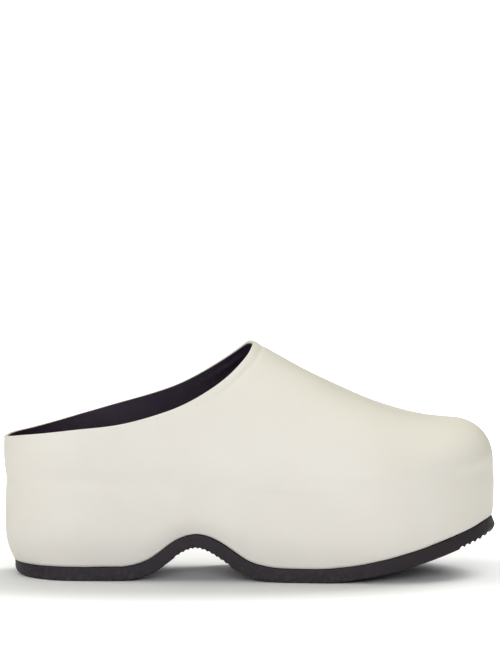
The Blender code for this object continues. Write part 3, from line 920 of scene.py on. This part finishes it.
def leather_material(name, colours, roughness, coat, cells, fineness, depth):
    made, tree, shader = new_material(name, roughness, coat)
    tone = group_node(tree, MOTTLE, {"Colour A": (*colours[0], 1), "Colour B": (*colours[1], 1),
                                     "Spots per metre": 22.0})
    grain = group_node(tree, GRAIN, {"Cells per metre": cells, "Fineness": fineness})
    tree.links.new(tone.outputs["Colour"], shader.inputs["Base Color"])
    gloss = node(tree, "ShaderNodeMapRange",
                 {"Value": tone.outputs["Mask"], "To Min": roughness - 0.04,
                  "To Max": roughness + 0.05})
    tree.links.new(gloss.outputs[0], shader.inputs["Roughness"])
    tree.links.new(bump(tree, grain.outputs["Height"], depth), shader.inputs["Normal"])
    return made


# %% The materials of the shoe
# name, two colours, roughness, coat, cells per metre, fineness, depth of the grain
cream = leather_material(
    "cream_leather", [(0.80, 0.773, 0.702), (0.79, 0.759, 0.682)],
    0.48, 0.08, 950.0, 0.55, 0.00003)
black = leather_material(
    "black_lining_leather", [(0.034, 0.021, 0.038), (0.027, 0.016, 0.030)],
    0.45, 0.0, 1100.0, 0.3, 0.00012)
sock = leather_material(
    "black_sock_leather", [(0.015, 0.010, 0.015), (0.011, 0.008, 0.012)],
    0.5, 0.0, 900.0, 0.3, 0.0001)


def rubber_material():
    made, tree, shader = new_material("black_rubber", 0.6)
    shader.inputs["Specular IOR Level"].default_value = 0.35
    tone = group_node(tree, MOTTLE, {"Colour A": (0.020, 0.014, 0.018, 1),
                                     "Colour B": (0.016, 0.011, 0.015, 1),
                                     "Spots per metre": 260.0})
    dust = group_node(tree, DUST, {"Height of veil": 0.010, "Amount": 0.10})
    mixed = node(tree, "ShaderNodeMix", {0: dust.outputs["Mask"], 6: tone.outputs["Colour"],
                                         7: (0.30, 0.28, 0.25, 1)}, data_type="RGBA")
    tree.links.new(mixed.outputs[2], shader.inputs["Base Color"])
    where = node(tree, "ShaderNodeTexCoord").outputs["Object"]
    specks = node(tree, "ShaderNodeTexNoise", {"Vector": where, "Scale": 1500.0, "Detail": 3.0})
    tree.links.new(bump(tree, specks.outputs["Fac"], 0.00008), shader.inputs["Normal"])
    return made


def foam_material():
    made, tree, shader = new_material("platform_foam", 0.85)
    tone = group_node(tree, MOTTLE, {"Colour A": (0.62, 0.50, 0.36, 1),
                                     "Colour B": (0.45, 0.33, 0.21, 1),
                                     "Spots per metre": 300.0})
    grain = group_node(tree, GRAIN, {"Cells per metre": 600.0, "Fineness": 0.4})
    tree.links.new(tone.outputs["Colour"], shader.inputs["Base Color"])
    tree.links.new(bump(tree, grain.outputs["Height"], 0.0002), shader.inputs["Normal"])
    return made


rubber = rubber_material()
for piece, finish in (
        (upper_leather, cream), (lining, black), (footbed, sock), (outsole_rubber, rubber)):
    piece.data.materials.append(finish)
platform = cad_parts["platform"]
foam = foam_material()
if not platform.material_slots:
    platform.data.materials.append(foam)
for slot in platform.material_slots:
    slot.material = foam
print("materials:", [material.name for material in bpy.data.materials])

# %% [markdown]
# ## Floor and light
# The shoe stands on plain pale paper. It reflects about a third of the light, so that it lights the
# shoe only gently from below. To the eye it glows a little more with the distance from the shoe,
# which leaves nothing of it but the soft shadow. One broad light stands in front on the left and
# lights the shoe. Four smaller ones light only the paper, where they draw the shadow. The room adds
# three wide soft lights: from above, from the front on the left and from behind.

# %% Floor
FLOOR_SIZE = 30.0
PAPER_TONES, PAPER_BOUNCE = (0.351, 0.347), 0.34  # as seen, and as it lights the shoe
GLOW_START, GLOW_FULL, GLOW = 0.075, 0.28, 0.95
GLOW_SHAPE = (0.62, 1.0, 0.0)  # the shoe is longer than it is wide


def paper_material():
    made, tree, shader = new_material("white_paper", 0.9)
    light, dark = [(tone, tone, tone, 1) for tone in PAPER_TONES]
    tone = group_node(tree, MOTTLE, {"Colour A": light, "Colour B": dark, "Spots per metre": 3.0})
    seen = node(tree, "ShaderNodeLightPath").outputs["Is Camera Ray"]
    bounce = (PAPER_BOUNCE, PAPER_BOUNCE, PAPER_BOUNCE, 1)
    colour = node(tree, "ShaderNodeMix", {0: seen, 6: bounce, 7: tone.outputs["Colour"]},
                  data_type="RGBA")
    tree.links.new(colour.outputs[2], shader.inputs["Base Color"])
    shader.inputs["Specular IOR Level"].default_value = 0.0
    where = node(tree, "ShaderNodeTexCoord").outputs["Object"]
    round_shoe = node(tree, "ShaderNodeVectorMath", {0: where, 1: GLOW_SHAPE},
                      operation="MULTIPLY")
    away = node(tree, "ShaderNodeVectorMath", {0: round_shoe.outputs[0]}, operation="LENGTH")
    glow = node(tree, "ShaderNodeMapRange",
                {"Value": away.outputs["Value"], "From Min": GLOW_START,
                 "From Max": GLOW_FULL, "To Max": GLOW},
                interpolation_type="SMOOTHSTEP")
    lit = node(tree, "ShaderNodeMath", {0: glow.outputs[0], 1: seen}, operation="MULTIPLY")
    shader.inputs["Emission Color"].default_value = (1, 1, 1, 1)
    tree.links.new(lit.outputs[0], shader.inputs["Emission Strength"])
    return made


half = FLOOR_SIZE / 2
corners = [(-half, -half, 0), (half, -half, 0), (half, half, 0), (-half, half, 0)]
floor = add_mesh("floor", corners, [(0, 1, 2, 3)])
floor.data.materials.append(paper_material())

# %% Lights
TARGET = Vector((0.0, 0.0, 0.05))
SOFTBOXES = [  # name, place, width, height, power, colour, lights only the floor
    ("front", (-0.45, -2.40, 0.32), 2.4, 0.9, 25.5, (0.65, 0.67, 0.81), False),
    ("low_in_front", (0.00, -1.30, 0.42), 1.2, 0.4, 27.0, (1.0, 1.0, 1.0), True),
    ("low_behind", (0.00, 1.30, 0.42), 1.2, 0.4, 18.0, (1.0, 1.0, 1.0), True),
    ("left", (-1.20, 0.00, 0.80), 0.7, 0.7, 15.0, (1.0, 1.0, 1.0), True),
    ("behind_right", (0.80, 0.80, 1.10), 0.8, 0.8, 42.0, (1.0, 1.0, 1.0), True)]
only_floor = bpy.data.collections.new("lit_by_the_shadow_lights")
only_floor.objects.link(floor)

for name, place, width, height, power, colour, floor_only in SOFTBOXES:
    lamp = bpy.data.lights.new(name + "_softbox", "AREA")
    lamp.shape, lamp.size, lamp.size_y = "RECTANGLE", width, height
    lamp.energy, lamp.color = power, colour
    light = bpy.data.objects.new(name + "_softbox", lamp)
    light.location = place
    light.rotation_euler = (TARGET - Vector(place)).to_track_quat("-Z", "Y").to_euler()
    bpy.context.scene.collection.objects.link(light)
    if floor_only:
        light.light_linking.receiver_collection = only_floor

ROOM_LIGHTS = [  # direction that a wide soft light comes from, its strength
    ((0.0, 0.0, 1.0), 1.66), ((-0.707, -0.707, 0.0), 0.55), ((0.0, 1.0, 0.0), 0.38)]
ROOM_COLOUR, SEEN_ROOM = (1.0, 0.985, 0.90), 1.2
world = bpy.data.worlds.new("white_room")
bpy.context.scene.world = world
world.use_nodes = True
room = world.node_tree
background = room.nodes["Background"]
background.inputs["Color"].default_value = (*ROOM_COLOUR, 1)
towards = node(room, "ShaderNodeTexCoord").outputs["Generated"]
strength = None
for direction, power in ROOM_LIGHTS:
    facing = node(room, "ShaderNodeVectorMath", {0: towards, 1: direction},
                  operation="DOT_PRODUCT")
    ahead = node(room, "ShaderNodeMath", {0: facing.outputs["Value"], 1: 0.0}, operation="MAXIMUM")
    round_light = node(room, "ShaderNodeMath", {0: ahead.outputs[0], 1: 2.0}, operation="POWER")
    added = {0: round_light.outputs[0], 1: power, 2: strength or 0.0}
    strength = node(room, "ShaderNodeMath", added, operation="MULTIPLY_ADD").outputs[0]
seen = node(room, "ShaderNodeLightPath").outputs["Is Camera Ray"]
shade = node(room, "ShaderNodeMix", {0: seen, 2: strength, 3: SEEN_ROOM}, data_type="FLOAT")
room.links.new(shade.outputs[0], background.inputs["Strength"])
bpy.context.scene.view_settings.view_transform = "Standard"

# %% [markdown]
# ## Camera
# The picture was taken square from the outer side with a long lens, a little above the shoe. The
# camera stands four metres away, so that near and far edges keep the same scale, and looks down by
# a few degrees. It aims above the shoe, which puts it in the lower half of the tall picture.

# %% Camera
DISTANCE, ELEVATION, PITCH = 4.0, radians(6.5), radians(5.517)
CAMERA_X, CAMERA_LIFT = 0.0004, 0.06
SENSOR, FRAME_PIXELS, METRES_PER_PIXEL = 36.0, 667, 0.0005378
camera_data = bpy.data.cameras.new("camera")
camera_data.sensor_width = SENSOR
camera_data.lens = SENSOR * DISTANCE / METRES_PER_PIXEL / FRAME_PIXELS
camera_data.clip_end = 100.0
camera = bpy.data.objects.new("camera", camera_data)
camera.location = (
    CAMERA_X, -DISTANCE * np.cos(ELEVATION), CAMERA_LIFT + DISTANCE * np.sin(ELEVATION))
camera.rotation_euler = (pi / 2 - PITCH, 0, 0)
bpy.context.scene.collection.objects.link(camera)
bpy.context.scene.camera = camera
print("lens: %.0f mm" % camera_data.lens)
